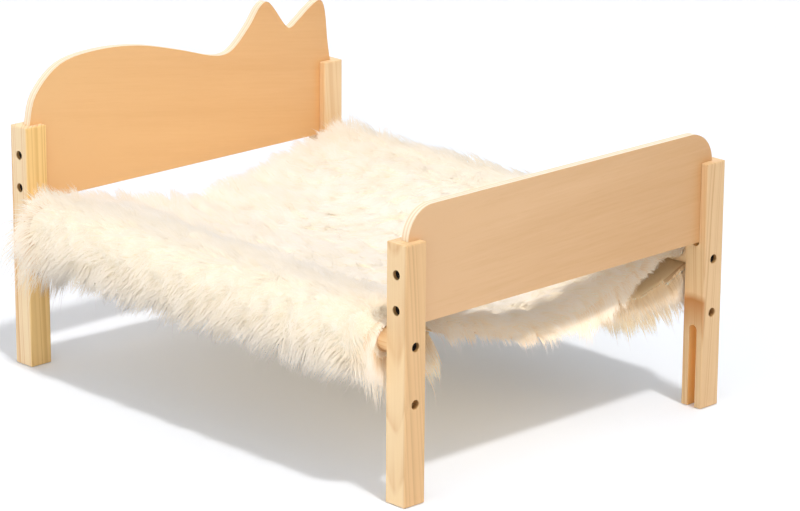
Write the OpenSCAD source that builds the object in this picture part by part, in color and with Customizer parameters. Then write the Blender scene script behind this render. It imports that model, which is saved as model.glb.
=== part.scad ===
// Cat hammock: four slotted posts, a shaped headboard, a footboard and a plush sling on two rails.
// X is the width and Y the length, with the headboard at +Y. Z is up, from the middle of the floor.

/* [Overall] */
// Width over the posts, along X
frame_w = 420; // [360:5:520]
// Length over the posts, along Y
frame_l = 560; // [460:5:720]

/* [Posts] */
// Height of the posts
leg_h = 245; // [228:1:320]
// Side of the square posts
leg_s = 25; // [24:0.5:32]
// Radius of the eased post edges
leg_ease = 1.2; // [0.4:0.1:2.5]
// Length of the board slot at each end of a post
slot_len = 83; // [60:1:90]
// Depth of the board slots, from the inner face
slot_depth = 15; // [12:0.5:15.5]
// Distance from a slot's round end to the nearest rail hole's centre
hole_drop = 12.7; // [10:0.1:15]

/* [Boards] */
// Thickness of the headboard and footboard
board_t = 9; // [6:0.5:10]
// Clearance between a board and each wall of its slot
board_clear = 0.3; // [0.2:0.05:0.5]
// Height of the headboard's tallest tip above the posts
headboard_rise = 76; // [50:1:110]
// Height of the footboard above the posts
footboard_rise = 30; // [30:1:60]
// Radius of the footboard's upper corners
footboard_corner_r = 30; // [10:1:30]

/* [Rails] */
// Diameter of the round rails
rail_d = 22; // [18:0.5:24]
// Outer diameter of the threaded inserts in the rail ends
insert_d = 8; // [7:0.25:10]
// Length of the threaded inserts
insert_l = 13; // [10:0.5:18]

/* [Hardware] */
// Thread diameter of the rail bolts
bolt_d = 5; // [4:0.25:5.25]
// Length of the rail bolts under the head
bolt_l = 29; // [25:0.5:31]
// Core diameter of the board screws
screw_d = 4; // [3:0.25:4.5]
// Length of the board screws under the head
screw_l = 30; // [20:1:45]
// Drop of the upper board screw from the post's top
upper_screw_drop = 29; // [20:1:34]
// Height of the lower board screw above the boards' lower edge
lower_screw_rise = 16.2; // [12:0.2:20]
// Diameter of the bolt and screw heads
head_d = 8.5; // [8:0.1:9]
// Height of the bolt and screw heads
head_h = 2.8; // [2.4:0.1:3.2]
// Depth of the heads below the post's face
head_recess = 3.6; // [1:0.1:3.8]
// Width across the flats of the hex sockets
socket_af = 4; // [3:0.25:4.5]
// Depth of the hex sockets
socket_depth = 1.7; // [1:0.1:2]

/* [Sling] */
// Gap between the sling's open ends and the posts
sling_end_gap = 12; // [8:0.5:30]
// Distance from a rail's axis inwards to the edge of its sleeve
sleeve_reach = 32; // [28:1:45]
// Thickness of the cloth and the dense part of its pile
pile_t = 18; // [10:0.5:22]
// Extra pile thickness where it hangs down
pile_hang = 10; // [2:0.5:14]
// Distance between the locks that the pile stands in
lock_pitch = 40; // [32:1:60]
// Depth of the hollows between the locks
lock_depth = 8; // [0:0.5:9]
// Height of the bed's backing over the rail's axis, at the sleeve's edge
bed_edge_rise = 3; // [0:0.5:6]
// Sag of the bed at the middle of the sling
bed_sag = 50; // [35:1:54]
// How much less the bed sags at the sling's foot end
foot_lift = 6; // [0:0.5:12]
// How much less the bed sags at the sling's head end
head_lift = 25; // [0:0.5:30]
// Height of the left rail's pocket at the sleeve's edge, from the flap to the bed
left_pocket_h = 17; // [15:0.5:22]
// Width of the left flap, from its sleeve to the seam under the bed
left_flap_w = 20; // [14:1:40]
// Height of the right rail's pocket at the sleeve's edge, from the flap to the bed
right_pocket_h = 28; // [22:1:34]
// Width of the right flap, from its sleeve to the seam under the bed
right_flap_w = 70; // [48:1:93]

/* [Hidden] */
// Running clearance round bolts in their holes, on the radius
bolt_clear = 0.25;
// Clearance round threads, inserts and screw cores, on the radius
thread_clear = 0.1;
// Clearance round the bolt heads in their counterbores, on the radius
head_clear = 0.35;
// Clearance between the cloth and what it touches
cloth_clear = 0.3;
// Length that cuts run past the faces they open
overrun = 1;
// Length of the chamfer at a bolt's tip
tip_l = 1;
// Length of a board screw's point
point_l = 6;
// Clear depth in a rail's bore beyond its insert and bolt
bore_spare = 4;
// Share of the pile's thickness left at the sling's open ends
pile_end_share = 0.45;
// Power of the curve that rounds the pile off at the open ends
end_round_power = 24;
// How far the rows of locks sway, and how much the sway turns in half a pitch, in degrees
lock_sway = 60;
sway_turn = 67.5;
// Place of the stations next to the open ends, as a share of the sling's half length
end_station_share = 0.97;
// Columns across a flap, and steps round a rail and along a sleeve's edges
flap_columns = 9;
wrap_steps = 14;
edge_steps = 3;
// Curve steps between two outline points of the headboard
outline_steps = 5;

$fn = 48;

// Places worked out from the sizes above
half_w = frame_w / 2;
half_l = frame_l / 2;
leg_x = half_w - leg_s / 2;
leg_y = half_l - leg_s / 2;
slot_w = board_t + 2 * board_clear;
slot_end_z = leg_h - slot_len;
rail_z = slot_end_z - hole_drop;
spare_z = leg_h - rail_z;
board_half_w = half_w - leg_s + slot_depth - board_clear;
board_bottom = slot_end_z + slot_w / 2;
upper_screw_z = leg_h - upper_screw_drop;
lower_screw_z = board_bottom + lower_screw_rise;
counterbore_r = head_d / 2 + head_clear;
head_seat = head_recess + head_h;
rail_l = frame_l - 2 * leg_s;
bolt_reach = bolt_l - (leg_s - head_seat);
sling_half_l = half_l - leg_s - sling_end_gap;
sleeve_r = rail_d / 2 + cloth_clear;
seam_x = leg_x - sleeve_reach;
bed_half_w = seam_x - cloth_clear;
bed_edge_z = rail_z + bed_edge_rise;

// Half pitches of the pile's locks along the sling, across the bed and round a sleeve
lock_rows = 2 * round(2 * sling_half_l / lock_pitch);
bed_locks = 2 * round(2 * bed_half_w / lock_pitch);
sleeve_locks = 2 * round((2 * sleeve_reach + PI * (sleeve_r + pile_t)) / lock_pitch);

// Station places along the sling, as shares of its half length
station_shares = concat(
    [-1, -end_station_share],
    [for (j = [1 : lock_rows - 1]) 2 * j / lock_rows - 1],
    [end_station_share, 1]
);

// Outline of the headboard's top from left to right: shares of its half width and of its rise
headboard_shares = [
    [-1.00, 0.00], [-0.955, 0.39], [-0.80, 0.73], [-0.565, 0.815], [-0.30, 0.76], [-0.04, 0.59],
    [0.165, 0.425], [0.27, 0.39], [0.345, 0.475], [0.44, 0.715], [0.505, 0.93], [0.555, 1.00],
    [0.60, 0.915], [0.68, 0.64], [0.72, 0.57], [0.77, 0.64], [0.85, 0.79], [0.91, 0.87],
    [0.945, 0.845], [0.967, 0.67], [0.982, 0.30], [1.00, 0.00]
];

// Point on a smooth curve between b and c, with a and d as its outer neighbours
function curve_point(a, b, c, d, t) =
    (2 * b + (c - a) * t + (2 * a - 5 * b + 4 * c - d) * t * t + (3 * b - a - 3 * c + d) * t * t * t) / 2;

// Smooth curve through all points of a list
function smooth_curve(p, steps) = [
    for (i = [0 : len(p) - 2])
        for (s = [0 : steps - (i < len(p) - 2 ? 1 : 0)])
            curve_point(p[max(i - 1, 0)], p[i], p[i + 1], p[min(i + 2, len(p) - 1)], s / steps)
];

// Angle at which a straight stretch from p touches a circle of radius r round the origin
function tangent_angle(p, r, side) = atan2(p[1], p[0]) + side * acos(r / norm(p));

// How deep a place lies in the hollows between locks, from 0 to 1. The value a counts half pitches
// across, and v is a station share.
function hollow_share(a, v) =
    let (
        b = (v + 1) / 2 * lock_rows,
        across = cos(180 * a + lock_sway * sin(sway_turn * b)),
        along = cos(180 * b + lock_sway * sin(sway_turn * a))
    )
    (1 - across * along) / 2;

// Pile thickness share at a share s of the way from the middle to an open edge, where it rounds off
function pile_share(s) = 1 - (1 - pile_end_share) * pow(abs(s), end_round_power);

// Height of the bed's backing at a share u of its half width and a station share v
function bed_z(u, v) = bed_edge_z - (bed_sag - (v < 0 ? foot_lift : head_lift) * v * v) * (1 - u * u);

// Height of a rail's pocket and place of the seam that closes it: side_x is -1 or 1
function pocket_h(side_x) = side_x < 0 ? left_pocket_h : right_pocket_h;
function pocket_x(side_x) = bed_half_w - (side_x < 0 ? left_flap_w : right_flap_w);

// Height of a flap's backing at a share w of its width, from the pocket's seam out to the sleeve
function flap_z(side_x, w, v) =
    (1 - w) * (bed_z(pocket_x(side_x) / bed_half_w, v) - cloth_clear) + w * (bed_edge_z - pocket_h(side_x));

// Moves a front left piece to another corner: side_x and side_y are -1 or 1
module at_corner(side_x, side_y) {
    mirror([side_x > 0 ? 1 : 0, 0, 0])
        mirror([0, side_y > 0 ? 1 : 0, 0])
            children();
}

// Rectangle with round corners, centred
module round_rectangle(w, h, r) {
    square([w - 2 * r, h], center = true);
    square([w, h - 2 * r], center = true);
    for (sx = [-1, 1])
        for (sy = [-1, 1])
            translate([sx * (w / 2 - r), sy * (h / 2 - r)])
                circle(r);
}

// Solid between two grids of points, outer and inner, with the same rows and columns
module padded_sheet(outer, inner) {
    rows = len(outer);
    cols = len(outer[0]);
    count = rows * cols;
    points = concat([for (row = outer) each row], [for (row = inner) each row]);
    upper_faces = [
        for (j = [0 : rows - 2])
            for (i = [0 : cols - 2])
                let (a = j * cols + i, b = a + 1, c = b + cols, d = a + cols)
                    each [[a, c, b], [a, d, c]]
    ];
    lower_faces = [for (f = upper_faces) [f[0] + count, f[2] + count, f[1] + count]];
    side_faces = [
        for (j = [0 : rows - 2])
            let (a = j * cols, d = a + cols, b = a + cols - 1, c = d + cols - 1)
                each [[a, a + count, d + count], [a, d + count, d],
                      [b, c + count, b + count], [b, c, c + count]]
    ];
    end_faces = [
        for (i = [0 : cols - 2])
            let (a = i, b = a + 1, d = (rows - 1) * cols + i, c = d + 1)
                each [[a, b, b + count], [a, b + count, a + count],
                      [d, c + count, c], [d, d + count, c + count]]
    ];
    polyhedron(points, concat(upper_faces, lower_faces, side_faces, end_faces));
}

// Bolt or screw along +Z with its head's seat at the origin
module socket_fastener(d, l, point) {
    difference() {
        translate([0, 0, -head_h])
            cylinder(d = head_d, h = head_h);
        translate([0, 0, -head_h - overrun])
            cylinder(r = socket_af / sqrt(3), h = socket_depth + overrun, $fn = 6);
    }
    cylinder(d = d, h = l - point);
    translate([0, 0, l - point])
        cylinder(d1 = d, d2 = d / 2, h = point);
}

// Bored and counterbored hole along +Z from a post's face at the origin
module counterbored_hole(r, l) {
    translate([0, 0, -overrun])
        cylinder(r = counterbore_r, h = head_seat + overrun);
    cylinder(r = r, h = l);
}

// Board slot in a post, from its round end at the origin along +Z and open towards +X
module board_slot() {
    translate([0, 0, slot_w / 2]) {
        translate([0, -slot_w / 2, 0])
            cube([slot_depth + overrun, slot_w, slot_len + overrun]);
        rotate([0, 90, 0])
            cylinder(d = slot_w, h = slot_depth + overrun);
    }
}

// Post with eased edges, standing at the front left corner
module eased_post() {
    translate([-leg_x, -leg_y, leg_h / 2])
        intersection() {
            linear_extrude(leg_h, center = true)
                round_rectangle(leg_s, leg_s, leg_ease);
            rotate([90, 0, 0])
                linear_extrude(leg_s, center = true)
                    round_rectangle(leg_s, leg_h, leg_ease);
            rotate([90, 0, 90])
                linear_extrude(leg_s, center = true)
                    round_rectangle(leg_s, leg_h, leg_ease);
        }
}

module leg(side_x, side_y) {
    color([0.95, 0.82, 0.64])
        at_corner(side_x, side_y)
            difference() {
                eased_post();
                translate([-half_w + leg_s - slot_depth, -leg_y, slot_end_z])
                    board_slot();
                translate([-half_w + leg_s - slot_depth, -leg_y, slot_len])
                    mirror([0, 0, 1])
                        board_slot();
                for (z = [rail_z, spare_z])
                    translate([-leg_x, -half_l, z])
                        rotate([-90, 0, 0])
                            counterbored_hole(bolt_d / 2 + bolt_clear, leg_s + overrun);
                for (z = [upper_screw_z, lower_screw_z])
                    translate([-half_w, -leg_y, z])
                        rotate([0, 90, 0])
                            counterbored_hole(screw_d / 2 + bolt_clear, leg_s - slot_depth + overrun);
            }
}

// Pilot holes for the board screws, in both ends of a board that stands in the plane y = 0
module board_pilots() {
    for (side = [-1, 1])
        for (z = [upper_screw_z, lower_screw_z])
            translate([side * (half_w - head_seat), 0, z])
                rotate([0, -side * 90, 0])
                    cylinder(d = screw_d + 2 * thread_clear, h = screw_l + thread_clear);
}

module headboard() {
    top = smooth_curve([for (s = headboard_shares) [s[0] * board_half_w, leg_h + s[1] * headboard_rise]],
                       outline_steps);
    color([0.94, 0.73, 0.49])
        translate([0, leg_y, 0])
            difference() {
                rotate([90, 0, 0])
                    linear_extrude(board_t, center = true)
                        polygon(concat(top, [[board_half_w, board_bottom], [-board_half_w, board_bottom]]));
                board_pilots();
            }
}

// Footboard outline in its own plane: a straight board with round upper corners
module footboard_outline() {
    r = footboard_corner_r;
    top = leg_h + footboard_rise;
    translate([-board_half_w, board_bottom])
        square([2 * board_half_w, top - r - board_bottom]);
    translate([-board_half_w + r, board_bottom])
        square([2 * (board_half_w - r), top - board_bottom]);
    for (side = [-1, 1])
        translate([side * (board_half_w - r), top - r])
            circle(r, $fn = 96);
}

module footboard() {
    color([0.88, 0.71, 0.53])
        translate([0, -leg_y, 0])
            difference() {
                rotate([90, 0, 0])
                    linear_extrude(board_t, center = true)
                        footboard_outline();
                board_pilots();
            }
}

// Round rail between the posts, bored at both ends for its inserts
module rail(side_x) {
    bore_l = max(insert_l, bolt_reach) + bore_spare;
    color([0.90, 0.76, 0.57])
        translate([side_x * leg_x, 0, rail_z])
            rotate([90, 0, 0])
                difference() {
                    cylinder(d = rail_d, h = rail_l, center = true);
                    for (end = [0, 1])
                        mirror([0, 0, end])
                            translate([0, 0, rail_l / 2 - insert_l]) {
                                cylinder(d = insert_d + 2 * thread_clear, h = insert_l + overrun);
                                translate([0, 0, insert_l - bore_l])
                                    cylinder(r = bolt_d / 2 + bolt_clear, h = bore_l);
                            }
                }
}

module rail_insert(side_x, side_y) {
    color([0.80, 0.62, 0.30])
        at_corner(side_x, side_y)
            translate([-leg_x, -half_l + leg_s, rail_z])
                rotate([-90, 0, 0])
                    difference() {
                        cylinder(d = insert_d, h = insert_l);
                        translate([0, 0, -overrun])
                            cylinder(r = bolt_d / 2 + thread_clear, h = insert_l + 2 * overrun);
                    }
}

module rail_bolt(side_x, side_y) {
    color([0.10, 0.10, 0.11])
        at_corner(side_x, side_y)
            translate([-leg_x, -half_l + head_seat, rail_z])
                rotate([-90, 0, 0])
                    socket_fastener(bolt_d, bolt_l, tip_l);
}

module board_screw(side_x, side_y, z) {
    color([0.10, 0.10, 0.11])
        at_corner(side_x, side_y)
            translate([-half_w + head_seat, -leg_y, z])
                rotate([0, 90, 0])
                    socket_fastener(screw_d, screw_l, point_l);
}

// Section of a sleeve as on the right side, from its upper to its lower edge, round the rail's axis.
// Each entry is a point on the inner face and the direction and thickness of the pile on it.
function sleeve_section(pocket_h) =
    let (
        upper_edge = [-sleeve_reach, bed_edge_rise],
        lower_edge = [-sleeve_reach, bed_edge_rise - pocket_h],
        upper_turn = tangent_angle(upper_edge, sleeve_r, -1),
        lower_turn = tangent_angle(lower_edge, sleeve_r, 1),
        first = sleeve_r * [cos(upper_turn), sin(upper_turn)],
        last = sleeve_r * [cos(lower_turn), sin(lower_turn)]
    )
    concat(
        [for (s = [0 : edge_steps - 1])
            let (t = s / edge_steps, turn = 90 + t * (upper_turn - 90))
                [upper_edge + t * (first - upper_edge), turn, pile_t]],
        [for (s = [0 : wrap_steps])
            let (turn = upper_turn + (lower_turn - upper_turn) * s / wrap_steps)
                [sleeve_r * [cos(turn), sin(turn)], turn, pile_t + pile_hang * max(0, -sin(turn))]],
        [for (s = [1 : edge_steps])
            let (t = s / edge_steps, turn = lower_turn + t * (-90 - lower_turn))
                [last + t * (lower_edge - last), turn, pile_t + pile_hang * max(0, -sin(turn))]]
    );

module sleeve(side_x) {
    section = sleeve_section(pocket_h(side_x));
    last = len(section) - 1;
    inner = [
        for (v = station_shares)
            [for (p = section) [leg_x + p[0][0], sling_half_l * v, rail_z + p[0][1]]]
    ];
    outer = [
        for (v = station_shares)
            [for (k = [0 : last])
                let (
                    p = section[k],
                    pile = p[2] - lock_depth * hollow_share(sleeve_locks * k / last, v),
                    q = p[0] + pile * pile_share(v) * [cos(p[1]), sin(p[1])]
                )
                    [leg_x + q[0], sling_half_l * v, rail_z + q[1]]]
    ];
    color([0.97, 0.93, 0.86])
        mirror([side_x < 0 ? 1 : 0, 0, 0])
            padded_sheet(outer, inner);
}

// Flap of plush that turns in under the bed and closes a rail's pocket, with its pile below
module flap(side_x) {
    seam = pocket_x(side_x);
    width = bed_half_w - seam;
    shares = [for (i = [0 : flap_columns - 1]) 1 - i / (flap_columns - 1)];
    inner = [
        for (v = station_shares)
            [for (w = shares) [seam + w * width, sling_half_l * v, flap_z(side_x, w, v)]]
    ];
    outer = [
        for (v = station_shares)
            [for (w = shares)
                let (
                    locks = sleeve_locks + 2 * (1 - w) * width / lock_pitch,
                    pile = pile_t + pile_hang - lock_depth * hollow_share(locks, v),
                    drop = pile * pile_share(v) * pile_share(1 - w)
                )
                    [seam + w * width, sling_half_l * v, flap_z(side_x, w, v) - drop]]
    ];
    color([0.97, 0.93, 0.86])
        mirror([side_x < 0 ? 1 : 0, 0, 0])
            padded_sheet(outer, inner);
}

// Bed of the sling between the sleeves, with its pile on top
module sling_bed() {
    shares = [for (i = [0 : bed_locks]) 2 * i / bed_locks - 1];
    inner = [
        for (v = station_shares)
            [for (u = shares) [u * bed_half_w, sling_half_l * v, bed_z(u, v)]]
    ];
    outer = [
        for (v = station_shares)
            [for (i = [0 : bed_locks])
                let (
                    u = shares[i],
                    rise = (pile_t - lock_depth * hollow_share(i, v)) * pile_share(v)
                )
                    [u * bed_half_w, sling_half_l * v, bed_z(u, v) + rise]]
    ];
    color([0.97, 0.93, 0.86])
        padded_sheet(outer, inner);
}

leg(-1, -1);  // front_left_leg
leg(1, -1);  // front_right_leg
leg(-1, 1);  // back_left_leg
leg(1, 1);  // back_right_leg
headboard();
footboard();
rail(-1);  // left_rail
rail(1);  // right_rail
rail_insert(-1, -1);  // front_left_rail_insert
rail_insert(1, -1);  // front_right_rail_insert
rail_insert(-1, 1);  // back_left_rail_insert
rail_insert(1, 1);  // back_right_rail_insert
rail_bolt(-1, -1);  // front_left_rail_bolt
rail_bolt(1, -1);  // front_right_rail_bolt
rail_bolt(-1, 1);  // back_left_rail_bolt
rail_bolt(1, 1);  // back_right_rail_bolt
board_screw(-1, -1, upper_screw_z);  // front_left_upper_screw
board_screw(1, -1, upper_screw_z);  // front_right_upper_screw
board_screw(-1, 1, upper_screw_z);  // back_left_upper_screw
board_screw(1, 1, upper_screw_z);  // back_right_upper_screw
board_screw(-1, -1, lower_screw_z);  // front_left_lower_screw
board_screw(1, -1, lower_screw_z);  // front_right_lower_screw
board_screw(-1, 1, lower_screw_z);  // back_left_lower_screw
board_screw(1, 1, lower_screw_z);  // back_right_lower_screw
sleeve(-1);  // left_sleeve
sleeve(1);  // right_sleeve
flap(-1);  // left_flap
flap(1);  // right_flap
sling_bed();
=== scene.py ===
"""Looks of the cat hammock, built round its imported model. Lengths are in metres, in the model's frame."""
import math

import bpy
import numpy as np
from mathutils import Matrix, Vector


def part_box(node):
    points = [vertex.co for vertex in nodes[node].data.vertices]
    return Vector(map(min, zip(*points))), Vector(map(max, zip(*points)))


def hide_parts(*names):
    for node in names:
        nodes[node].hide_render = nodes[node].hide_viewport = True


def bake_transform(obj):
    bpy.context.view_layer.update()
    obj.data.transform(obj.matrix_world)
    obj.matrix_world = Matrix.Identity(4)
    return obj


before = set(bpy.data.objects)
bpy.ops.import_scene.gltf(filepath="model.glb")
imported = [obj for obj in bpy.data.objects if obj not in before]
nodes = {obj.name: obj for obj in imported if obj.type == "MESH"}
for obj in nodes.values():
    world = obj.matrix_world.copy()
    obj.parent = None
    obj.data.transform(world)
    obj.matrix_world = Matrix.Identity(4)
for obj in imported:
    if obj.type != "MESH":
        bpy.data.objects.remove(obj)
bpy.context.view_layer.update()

# Camera: the photograph's viewing angle in degrees, and its focal length in pixels of an 800 wide image
IMAGE_W = 800
FOCAL_PX = 3666.0
SENSOR_W = 36.0
CAMERA_PLACE = Vector((-2.337, -2.487, 1.174))
CAMERA_YAW, CAMERA_PITCH, CAMERA_ROLL = -43.84, 17.0, 0.39

# Light and floor: where each lamp stands and what it aims at
WARM, COOL, WHITE = (1, 0.985, 0.965), (0.94, 0.97, 1), (1, 1, 1, 1)
ORIGIN = (0, 0, 0)
KEY_PLACE, KEY_STRENGTH, KEY_ANGLE = (-0.24, -1.17, 3), 1.45, math.radians(5)
DOME_PLACE, DOME_STRENGTH, DOME_ANGLE = (0, 0, 3), 1.2, math.radians(170)
FILL_PLACE, FILL_TARGET, FILL_POWER, FILL_SIZE = (-2.4, -0.8, 0.9), (0, 0, 0.15), 15.5, 2.4
WORLD_STRENGTH = 0.22
FLOOR_SIZE, FLOOR_DROP, FLOOR_GLOW = 14, 0.0005, 0.08
FLOOR_TONES = ((0.890, 0.918, 0.975, 1), (0.905, 0.933, 0.990, 1))

# Posts: the lower slot's top, painted light and shade on the -Y face in a heartwood tone, a stain with a
# sharp upper edge on the -X side, and how far below the faces the inside of slots and holes starts; the
# holes' inside is painted shade
SLOT_TOP, SLOT_SOFT = 0.083, 0.002
FACE_LIGHT_T, FACE_LIGHT_DEEPER = 0.003, 0.82
STAIN_Z, STAIN_OVER, STAIN_UNDER, STAIN_SWAY = 0.107, 0.007, 0.036, 0.02
STAIN_SIDE = (-0.0085, -0.012)
SIDE_SKIN, TOP_SKIN = (0.0004, 0.0016), (0.0002, 0.001)
HOLE_SIDE = (0.003, 0.005)
# The holes' tone is darker than the slots': painted shade inside the holes
STAIN_TONE, SLOT_TONE, HOLE_SHADE_TONE = (198, 134, 74), (255, 205, 130), (182, 140, 88)

# Range in which most of a noise lies
NOISE_RANGE = (0.3, 0.7)

# Pine: how far its rings sway and how uneven they are, where late wood starts and stops in a ring, the
# scales of its noises, and the ranges and shares of fibres and patches in its shade
RING_SWAY, RING_UNEVEN, LATE_POWER = 0.018, 0.012, 2.2
LATE_RISE, LATE_FALL, LATE_BUMP = (0.1, 0.84), (0.86, 1.0), 0.5
SWAY_SCALE, YEAR_SCALE, STREAK_SCALE = (9, 9, 1.6), 110.0, (140, 140, 3)
FIBRE_SCALE, PATCH_SCALE = (900, 900, 14), (22, 22, 5)
FIBRE_RANGE, PATCH_RANGE = (0.35, 0.75), (0.35, 0.7)
FIBRE_SHADE, PATCH_SHADE = 0.12, 0.22

# Boards: a ply's thickness, the scales of the veneer's noises, and the ranges and shares of broad figure,
# fine figure and pores in its shade
PLY_T, PLY_RANGE, PLY_SHADE = 0.0018, (0.35, 0.65), 0.45
BROAD_SCALE, FINE_SCALE, PORE_SCALE = (2.2, 1, 26), (16, 1, 420), (60, 1, 1500)
BROAD_RANGE, PORE_RANGE, FACE_RANGE = (0.32, 0.70), (0.62, 0.8), (0.6, 0.8)
BROAD_SHADE, FINE_SHADE, PORE_SHADE = 0.42, 0.18, 0.22
BOARD_EDGE = (255, 240, 212)

# Metal: where it is worn, and how far its roughness goes down and up
WEAR_RANGE, METAL_SMOOTHER, METAL_ROUGHER = (0.5, 0.75), 0.07, 0.1

# Backing and pile: tones, and the parts that clouds, nap, painted shade towards a strand's root and its own
# tone have in them
BACKING_TONES, CUT_TONE = ((255, 234, 192), (246, 214, 165)), (226, 190, 144)
KNIT_SCALE, CLOUD_PART, NAP_PART = (900, 260, 900), 0.55, 0.35
UNDERCOAT_TONES, UNDERCOAT_RANGE = ((244, 228, 198), (254, 244, 225)), (0.75, 1.25)
ROOT_SHADE_RANGE, ROOT_SHADE_PART, TONE_PART = (0.05, 0.75), 0.8, 0.2
WARM_RANGE, WARM_PART = (0.45, 0.72), 0.35
# Painted warm shade on the pile at the foot end: its tone, its share on the left, and its shares at a
# strand's root and tip
FOOT_SHADE_TONE, FOOT_SHADE_LEFT, FOOT_SHADE_ROOT, FOOT_SHADE_TIP = (255, 220, 168), 0.4, 0.8, 0.1

# Sling sizes that the frame's boxes don't give
PILE_T = 0.018
BED_EDGE_RISE = 0.003
FOOT_LIFT, HEAD_LIFT = 0.006, 0.025
POCKET_H = {-1: 0.017, 1: 0.028}
SEAM_CLEAR = 0.0003
CLOTH_T = 0.0016
CLOTH_CLEAR = 0.0004
CUT_EDGE = (0.0006, 0.0001)

# The cloth's points: stations along, columns across, and how its section is drawn and smoothed
CLOTH_STATIONS, CLOTH_COLUMNS = 81, 121
BED_POINTS, WRAP_POINTS, FLAP_POINTS = 60, 40, 40
SMOOTH_ROUNDS, SMOOTH_SHARE, SMOOTH_FROM = 12, 0.5, 0.6

# The cloth's waves in radians a metre, their heights, the foot end's lean to the right, how the flaps drop,
# and how far the wide pocket's rim stands out at its first two stations
WAVE_ACROSS, WAVE_ALONG, WAVE_BEND, WAVE_PHASE = 37, 15, 1.6, 0.8
RIPPLE_ACROSS, RIPPLE_ALONG, RIPPLE_SHARE = 71, 23, 0.6
WAVE_H, END_WAVE_H, END_POWER = 0.0012, 0.0016, 5
LEAN_H, LEAN_SPAN, LEAN_REACH = 0.008, 0.03, 0.15
FREE_SPAN, FLAP_SPAN = 0.05, 0.03
FLAP_DROP, FLAP_WAVE_H, FLAP_MIDDLE = 0.001, 0.0012, 0.4
MOUTH_OUT, MOUTH_CORNER = (0.0075, 0.003), (0.15, 0.185)

# Undercoat: its thickness on top, at the side and below, its shoulders beside the rails, its broad locks,
# and how it thins at the open ends and the pocket's seam
COAT_TOP, COAT_SIDE, COAT_BELOW = 0.013, 0.019, 0.017
COAT_GAP = 0.0002
SHOULDER_H, SHOULDER_X, SHOULDER_W = 0.006, 0.14, 0.03
LOCK_PITCH, LOCK_DEPTH = 0.040, 0.006
LOCK_SWAY, SWAY_TURN = math.radians(60), math.radians(67.5)
SLEEVE_STEPS = (0, 3, 17, 20)
THIN_POWER, THIN_FLAP, THIN_SIDE, THIN_TOP = 28, 0.9, 0.5, 0.35
SEAM_FROM, SEAM_SPAN, SEAM_THIN = 0.93, 0.07, 0.75
COAT_TILT = 0.3

# Strands: their size and spacing, how they vary, and how they are drawn together in tufts
STRAND_L, STRAND_W = 0.026, 0.00062
STRAND_SIDES, STRAND_RINGS = 3, 4
STRAND_TAPER, TAPER_POWER = 0.85, 2.2
STRAND_PITCH, TUFT_PITCH = 0.0020, 0.011
JITTER = (0.02, 0.98)
TUFT_LEAN, STRAND_LEAN = 0.26, 0.15
TUFT_LENGTH, STRAND_LENGTH = (0.82, 1.12), (0.75, 1.1)
STRAY_SHARE, STRAY_LENGTH = 0.012, 1.4
LOOSE_SHARE, LOOSE_PULL, TUFT_PULL, PULL_POWER = 0.2, 0.05, (0.2, 0.6), 1.4
ROOT_DEPTH, PILE_HANG = 0.0018, 0.3
MAP_EDGE = 0.1
SEED = 7

# Fringe: shorter strands beside the two open ends, rooted in the cloth's edge
END_ZONE, END_STRANDS, END_LENGTH, END_DEPTH = 0.014, 8000, 0.65, 0.003
END_DRAW, END_HANG = 0.5, 1.7

# Comb of the strands on bed and sleeves and at the two ends, how it gives way at the ends, and how proud the
# strands stand in the middle and at the corners of the head end
BED_COMB, SIDE_COMB, SLEEVE_COMB, FOOT_COMB, HEAD_COMB = 0.75, 0.25, 0.6, 1.1, 0.4
END_ACROSS_LESS, END_LEAN_LESS, PROUD_COMB_LESS = 0.7, 0.3, 0.5
PROUD_MIDDLE, PROUD_CORNER = 0.45, 0.55

# Parts that the coat's normal, the comb and weight have in a strand's direction, at its root and at its tip
ROOT_STAND, ROOT_BELOW, ROOT_ENDS, ROOT_FOOT, ROOT_PROUD = 0.45, 0.4, 0.3, 0.2, 0.5
ROOT_COMB, ROOT_WEIGHT, ROOT_HEAD_WEIGHT = 0.75, 0.25, 1.4
TIP_STAND, TIP_BELOW, TIP_PROUD = 0.10, 0.25, 0.6
TIP_COMB, TIP_WEIGHT, TIP_HEAD_WEIGHT = 0.8, 0.9, 0.8

# Shares by which strands are longer: below the wide pocket's mouth, where they fall over the foot end's edge,
# where they hang at the head end, where they stand proud, under the sleeves, and at the left foot corner
LONGER_MOUTH, LONGER_FALL, LONGER_HEAD = 0.45, 0.35, 0.85
LONGER_PROUD, LONGER_SLEEVE, LONGER_CORNER = 0.2, 0.4, 0.65

# Turn of the strands' visible sides, and how much they are shaded as round strands
FACE_INWARD, FACE_FLAT_LESS, FACE_FOOT_ACROSS = 0.6, 0.4, 0.6
FACE_HEAD, FACE_HEAD_BELOW, FACE_HEAD_INNER, FACE_FOOT = 0.1, 0.25, 0.5, 0.9
FACE_UP, FACE_UP_BELOW, FACE_UP_HEAD, FLAT_BELOW = 0.55, 0.6, 0.8, (0.7, 1.0)
ROUND_TOP, ROUND_BELOW, ROUND_HEAD = 0.2, 0.9, 0.9

# Where the strands change: ranges of |x| or x, and distances from the open ends
SLEEVE_FROM, BED_UNTIL, CORNER_FROM = (0.12, 0.18), (0.13, 0.17), (0.185, 0.205)
FLAP_FROM, MOUTH_FROM = (0.09, 0.13), (0.1, 0.125)
FALL_FROM, FALL_UNTIL = (0.0, 0.06), (0.085, 0.108)
RAIL_INSIDE, RAIL_OUTSIDE = 0.012, 0.006
FOOT_ZONE, FOOT_NARROWER, FOOT_EDGE, HEAD_ZONE = 0.10, 0.065, 0.006, 0.05
FOOT_TURN, HEAD_TURN = 0.06, 0.03
# Where the painted warm shade at the foot end starts along the sling, and where it grows across from the left
FOOT_SHADE_Y, FOOT_SHADE_X = -0.185, (-0.19, -0.11)

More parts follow.
